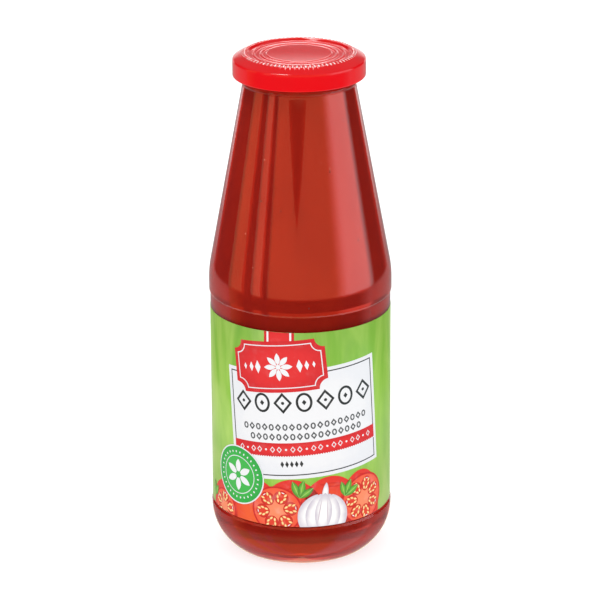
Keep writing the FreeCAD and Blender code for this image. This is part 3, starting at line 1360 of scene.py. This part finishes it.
    def draw_picture(self) -> None:
        """Draws the food along the foot: sauce, cut tomatoes, garlic and leaves."""
        pools = ((-41, 0, 10, 14), (-22, 2, 15, 19), (-4, 2, 15, 20), (13, 3, 15, 20), (28, 3, 12, 20))
        for across, up, wide, tall in pools:
            self.plate(Inks.SAUCE, 0).disc(Spot(across, up), (wide, tall), sides=64)
        for across, up, wide, turn in ((-3, 17.6, 5, 12), (14, 18.8, 6, -6), (31, 19.2, 4, -28)):
            self.plate(Inks.PULP, 1).petal(Spot(across, up, turn), (wide, 1.0), tip=0.8)
        self.draw_slice(Spot(-40.5, 2.2, 10), 8.4, 5, 2)
        self.draw_slice(Spot(-11.0, 7.4, 10), 11.4, 6, 2)
        self.draw_slice(Spot(29.6, 9.2, 25), 11.8, 7, 2)
        self.draw_sprig(Spot(-0.8, 13.5), (78, 38, 112), 4.2, 6)
        self.draw_sprig(Spot(19.6, 12.5), (68, 104, 30), 4.0, 6)
        self.draw_garlic(Spot(9.6, 6.2, -5), 9.0, 8)
        self.draw_sprig(Spot(-49.5, 4.0), (100, 62), 3.6, 6)

    def draw_back(self) -> None:
        """Draws two plain panels for the sides of the back, with rules and dashes only."""
        table = Spot(88, 47)
        self.plate(Inks.WHITE, 0).bar(table, (18, 34))
        self.plate(Inks.DARK, 1).bar(table, (16.4, 32.4), line=0.35)
        for row in range(12):
            up = 26 - 4.6 * row
            thick = 0.45 if row % 4 == 0 else 0.12
            self.plate(Inks.DARK, 1).bar(table.moved(0, up), (14.6, thick))
            for across, half in ((-9, 4.6), (11.4, 2.0)):
                self.plate(Inks.GREY, 1).bar(table.moved(across, up - 2.3), (half - 0.4 * (row % 3), 0.55))
        recipe = Spot(-88, 47)
        self.plate(Inks.WHITE, 0).bar(recipe, (18, 34))
        self.plate(Inks.RED, 2).bar(recipe.moved(0, 28.5), (18, 5.5))
        for step in range(-3, 4):
            self.plate(Inks.WHITE, 3).disc(recipe.moved(4.6 * step, 28.5), (1.4, 1.8), line=0.4, sides=4)
        for row in range(13):
            half = 14.5 - (5.0 if row % 5 == 4 else 0.8 * (row % 2))
            self.plate(Inks.GREY, 1).bar(recipe.moved(half - 15.2, 18.5 - 3.6 * row), (half, 0.42))

    def build(self) -> None:
        """Wraps the paper, draws every plate and presses them in order."""
        self.build_paper()
        self.draw_panel()
        self.draw_title()
        self.draw_picture()
        self.draw_emblem()
        self.draw_seal()
        self.draw_back()
        for plate in sorted(self.plates.values(), key=lambda plate: plate.layer):
            plate.press(self.sleeve)


@dataclass
class Flecks:
    """Small bits of skin and pale air bubbles where the passata meets the glass."""

    bottle: Bottle
    seed: int = 11

    def wall_radius(self, height: float) -> float:
        """Radius of the passata's side at a height, near enough for the straight parts.

        Args:
            height: height above the base.

        Returns:
            The radius.
        """
        bottle = self.bottle
        wall = bottle.panel - bottle.body_wall + bottle.bite
        bore = bottle.neck_radius - bottle.neck_wall + bottle.bite
        share = clamp((height - bottle.band_top - 4 * MM) / (bottle.cone_height - 4 * MM))
        return wall + (bore - wall) * share

    def build(self) -> None:
        """Scatters both kinds and joins each into one piece."""
        kinds = (
            ("skin_flecks", Ink("fleck_skin", ink(120, 22, 16), ink(90, 14, 12)), 70, 0.34),
            ("air_bubbles", Ink("fleck_air", ink(232, 130, 110), ink(206, 80, 60)), 46, 0.22),
        )
        draw = random.Random(self.seed)
        for name, look, count, size in kinds:
            mesh = bmesh.new()
            mesh.loops.layers.uv.new("Motif")
            for _ in range(count):
                height = draw.choice((draw.uniform(20, 24), draw.uniform(114, 205))) * MM
                turn = draw.uniform(0, 2 * math.pi)
                reach = self.wall_radius(height)
                spread = size * draw.uniform(0.5, 1.4) * MM
                made = bmesh.ops.create_icosphere(mesh, subdivisions=2, radius=1)
                shape = Matrix.Diagonal((spread, 0.35 * spread, spread * draw.uniform(0.7, 1.5), 1))
                place = Matrix.Translation((reach * math.sin(turn), -reach * math.cos(turn), height))
                turned = place @ Matrix.Rotation(turn, 4, "Z") @ shape
                bmesh.ops.transform(mesh, matrix=turned, verts=made["verts"])
            piece = finish_piece(mesh, name, look.material(), sharp=180)


# --------------------------------------------------------------------------------------------------
# Studio
# --------------------------------------------------------------------------------------------------


@dataclass(frozen=True)
class Strip:
    """An upright light panel with its level, its tint and the softness of its two edges.

    It starts and ends at angles round the bottle, in degrees from the camera's side and
    positive to the right.
    """

    start: float
    end: float
    level: float
    tint: tuple = (1, 1, 0.5, 1)
    fade_in: float = 1.0
    fade_out: float = 1.0


@dataclass
class Studio:
    """A pale floor, soft panels round the bottle and the camera.

    Each span is a pair of angles in degrees over which a light comes or goes: above the horizon,
    below it, or round the bottle from the camera's side.
    """

    flag_level: float = 0.04
    dome_level: float = 1.0
    ceiling_level: float = 0.3
    window_level: float = 9.0
    back_level: float = 1.1
    flag_tip: float = 2.7
    filling_lean: float = 2.3
    filling_gain: float = 0.12
    back_wall_span: tuple = (143, 150)
    back_fade_span: tuple = (7, 14.5)
    behind_span: tuple = (163, 167)
    glare_span: tuple = (15.2, 19)
    ceiling_span: tuple = (26, 40)
    window_foot_span: tuple = (22, 27)
    window_head_span: tuple = (60, 64)
    table_edge_span: tuple = (11, 14)
    far_table_span: tuple = (75, 115)
    near_table_span: tuple = (26, 40)
    near_side_span: tuple = (40, 100)
    under_span: tuple = (20, 26)
    under_side_span: tuple = (160, 168)
    white: tuple = (1, 1, 1, 1)
    cream: tuple = (1, 0.95, 0.72, 1)
    camera_place: tuple = (0, -1.335, 0.5885)
    camera_pitch: float = 19.63
    camera_roll: float = -0.31
    camera_lens: float = 195.5
    camera_shift: float = -0.0007
    table_level: float = 0.03
    near_table_level: float = 0.45
    far_table_level: float = 0.4
    under_level: float = 1.3
    strips: tuple[Strip, ...] = (
        Strip(-101, -78, 0.5),
        Strip(-64, -51, 0.62, (1, 1.1, 0.7, 1)),
        Strip(-42, 6, 0.47),
        Strip(6, 54, 0.46, fade_out=12.0),
        Strip(54, 103, 1.05, (1, 1.6, 1.7, 1), 12.0, 5.0),
    )

    def build_world(self) -> None:
        """Lights the room with upright panels, a soft ceiling, a tapering flag and the table.

        Every angle is in degrees. The filling's face leans a little more than the glass over
        it, so what it mirrors is looked up a little higher.
        """
        shader = Shader(bpy.data.worlds.new("studio"))
        bpy.context.scene.world = shader.owner
        way = shader.wire("ShaderNodeTexCoord", output="Generated")
        parts = shader.node("ShaderNodeSeparateXYZ", {}, {0: way})
        across, along, up = (Wire(shader, parts.outputs[index]) for index in range(3))
        inside = shader.wire("ShaderNodeLightPath", output="Transmission Depth").rise(0, 0.5)
        round_way = across.math("ARCTAN2", across, along * -1) * (180 / math.pi)
        rise = up.math("ARCSINE", up) * (180 / math.pi) + inside * self.filling_lean
        level, tint = self.add_panels(shader, round_way, rise)
        level = self.add_flag(level, round_way, rise)
        table, tint = self.add_table(shader, tint, round_way, rise)
        level = level + rise.rise(*self.ceiling_span) * (self.ceiling_level - level)
        window = rise.rise(*self.window_foot_span) * (1 - rise.rise(*self.window_head_span))
        window = window * self.behind(round_way)
        level = level + window * (self.window_level - level)
        level = level + (rise * -1).rise(*self.table_edge_span) * (table - level)
        bounced = shader.wire("ShaderNodeLightPath", output="Diffuse Depth").rise(0, 0.5)
        dome = self.dome_level * (1 - along * 0.22) * (inside * self.filling_gain + 1)
        level = level + bounced * (dome - level)
        seen = shader.wire("ShaderNodeLightPath", output="Is Camera Ray")
        level = level + seen * (1.0 - level)
        tint = shader.blend((bounced + seen).rise(0, 1), tint, self.white)
        glow = shader.wire("ShaderNodeBackground", {}, {"Color": tint, "Strength": level})
        shader.node("ShaderNodeOutputWorld", {}, {"Surface": glow})
        shader.owner.cycles.sampling_method = "NONE"

    def behind(self, round_way: Wire) -> Wire:
        """1 straight behind the bottle, fading to 0 at its sides."""
        return abs(round_way).rise(*self.behind_span)

    def add_panels(self, shader: Shader, round_way: Wire, rise: Wire) -> tuple[Wire, Wire]:
        """Stands the back wall and the upright strips round the bottle.

        Args:
            shader: the world's shader.
            round_way: angle round the bottle.
            rise: angle above the horizon.

        Returns:
            The light's level and its tint.
        """
        glare = rise.rise(*self.glare_span) * self.behind(round_way) * 1.1
        back = self.back_level * (1 - rise.rise(*self.back_fade_span) * 0.8 + glare)
        wall = abs(round_way).rise(*self.back_wall_span)
        level = wall * (back - self.flag_level) + self.flag_level
        tint = self.white
        for strip in self.strips:
            opens = round_way.rise(strip.start - strip.fade_in, strip.start + strip.fade_in)
            shuts = round_way.rise(strip.end - strip.fade_out, strip.end + strip.fade_out)
            level = level + (opens - shuts) * (strip.level - self.flag_level)
            tint = shader.blend(opens - shuts, tint, strip.tint)
        return level, tint

    def add_flag(self, level: Wire, round_way: Wire, rise: Wire) -> Wire:
        """Hangs the dark flag that tapers to a point low in front.

        Args:
            level: the light's level so far.
            round_way: angle round the bottle.
            rise: angle above the horizon.

        Returns:
            The level with the flag in it.
        """
        wedge = ((rise - self.flag_tip) * 8.2 - abs(round_way + 4.5)).rise(-0.8, 0.8)
        wedge = wedge * (1 - rise.rise(self.flag_tip + 2.1, self.flag_tip + 2.5))
        return level + wedge * (self.flag_level - level)

    def add_table(
        self, shader: Shader, tint: Wire, round_way: Wire, rise: Wire
    ) -> tuple[Wire, Wire]:
        """Lays the table's light: dim in front, paler at the sides and bright under the base.

        Args:
            shader: the world's shader.
            tint: the light's tint so far.
            round_way: angle round the bottle.
            rise: angle above the horizon.

        Returns:
            The table's level and the light's tint.
        """
        side, fall = abs(round_way), rise * -1
        table = side.rise(*self.far_table_span) * (self.far_table_level - self.table_level)
        table = table + self.table_level
        near = side.rise(*self.near_side_span) * 0.1 + self.near_table_level
        table = table + fall.rise(*self.near_table_span) * (near - table)
        under = fall.rise(*self.under_span) * side.rise(*self.under_side_span)
        table = table + under * (self.under_level - table)
        return table, shader.blend(under, tint, self.cream)

    def build_floor(self) -> None:
        """Lays a wide pale floor that only the camera and soft light see."""
        mesh = bmesh.new()
        bmesh.ops.create_grid(mesh, x_segments=1, y_segments=1, size=6.0)
        data = bpy.data.meshes.new("floor")
        mesh.to_mesh(data)
        mesh.free()
        shader = Shader(bpy.data.materials.new("pale_floor"))
        shader.surface(
            Base_Color=(0.45, 0.45, 0.45, 1),
            Roughness=0.9,
            Emission_Color=self.white,
            Emission_Strength=0.72,
        )
        data.materials.append(shader.owner)
        floor = bpy.data.objects.new("floor", data)
        floor.visible_glossy = False
        floor.visible_transmission = False
        bpy.context.scene.collection.objects.link(floor)

    def add_lamp(self, name: str, place: tuple, size: float, power: float) -> None:
        """Hangs a square soft lamp that shows only as a glint and points at the bottle's middle.

        Args:
            name: the lamp's name.
            place: where it hangs, in metres.
            size: length of its sides in metres.
            power: its power in watts.
        """
        data = bpy.data.lights.new(name, "AREA")
        data.size = size
        data.energy = power
        lamp = bpy.data.objects.new(name, data)
        lamp.location = place
        aim = Vector((0, 0, 0.11)) - lamp.location
        lamp.rotation_euler = aim.to_track_quat("-Z", "Y").to_euler()
        lamp.visible_diffuse = False
        bpy.context.scene.collection.objects.link(lamp)

    def build_camera(self) -> None:
        """Stands the camera in front of the bottle, looking a little down on it."""
        data = bpy.data.cameras.new("camera")
        data.sensor_width = 36
        data.lens = self.camera_lens
        data.shift_x = self.camera_shift
        data.clip_start = 0.05
        data.clip_end = 50
        camera = bpy.data.objects.new("camera", data)
        camera.location = self.camera_place
        tilt = Matrix.Rotation(math.radians(90 - self.camera_pitch), 3, "X")
        roll = Matrix.Rotation(math.radians(self.camera_roll), 3, "Z")
        camera.rotation_euler = (tilt @ roll).to_euler()
        bpy.context.scene.collection.objects.link(camera)
        bpy.context.scene.camera = camera

    def build(self) -> None:
        """Sets up the whole studio and shows colours as they are."""
        self.build_world()
        self.build_floor()
        self.add_lamp("top_spark", (-0.33, -0.16, 1.27), 0.34, 7.0)
        self.build_camera()
        bpy.context.scene.view_settings.view_transform = "Standard"


def main() -> None:
    """Builds every piece round the frame."""
    logging.basicConfig(level=logging.INFO, format="%(name)s: %(message)s")
    glass_low, glass_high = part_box("glass_bottle")
    _, fill_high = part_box("passata")
    lid_low, lid_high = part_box("lid")
    label_low, label_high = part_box("label")
    Studio().build()
    bottle = Bottle(contact_radius=glass_high.x, height=glass_high.z, fill_height=fill_high.z)
    bottle.build_glass()
    bottle.build_passata()
    Flecks(bottle).build()
    Lid(radius=lid_high.x, foot=lid_low.z, crest=lid_high.z).build()
    sleeve = Sleeve(label_high.x, label_low.z, label_high.z - label_low.z)
    Label(sleeve).build()


if __name__ == "__main__":
    main()
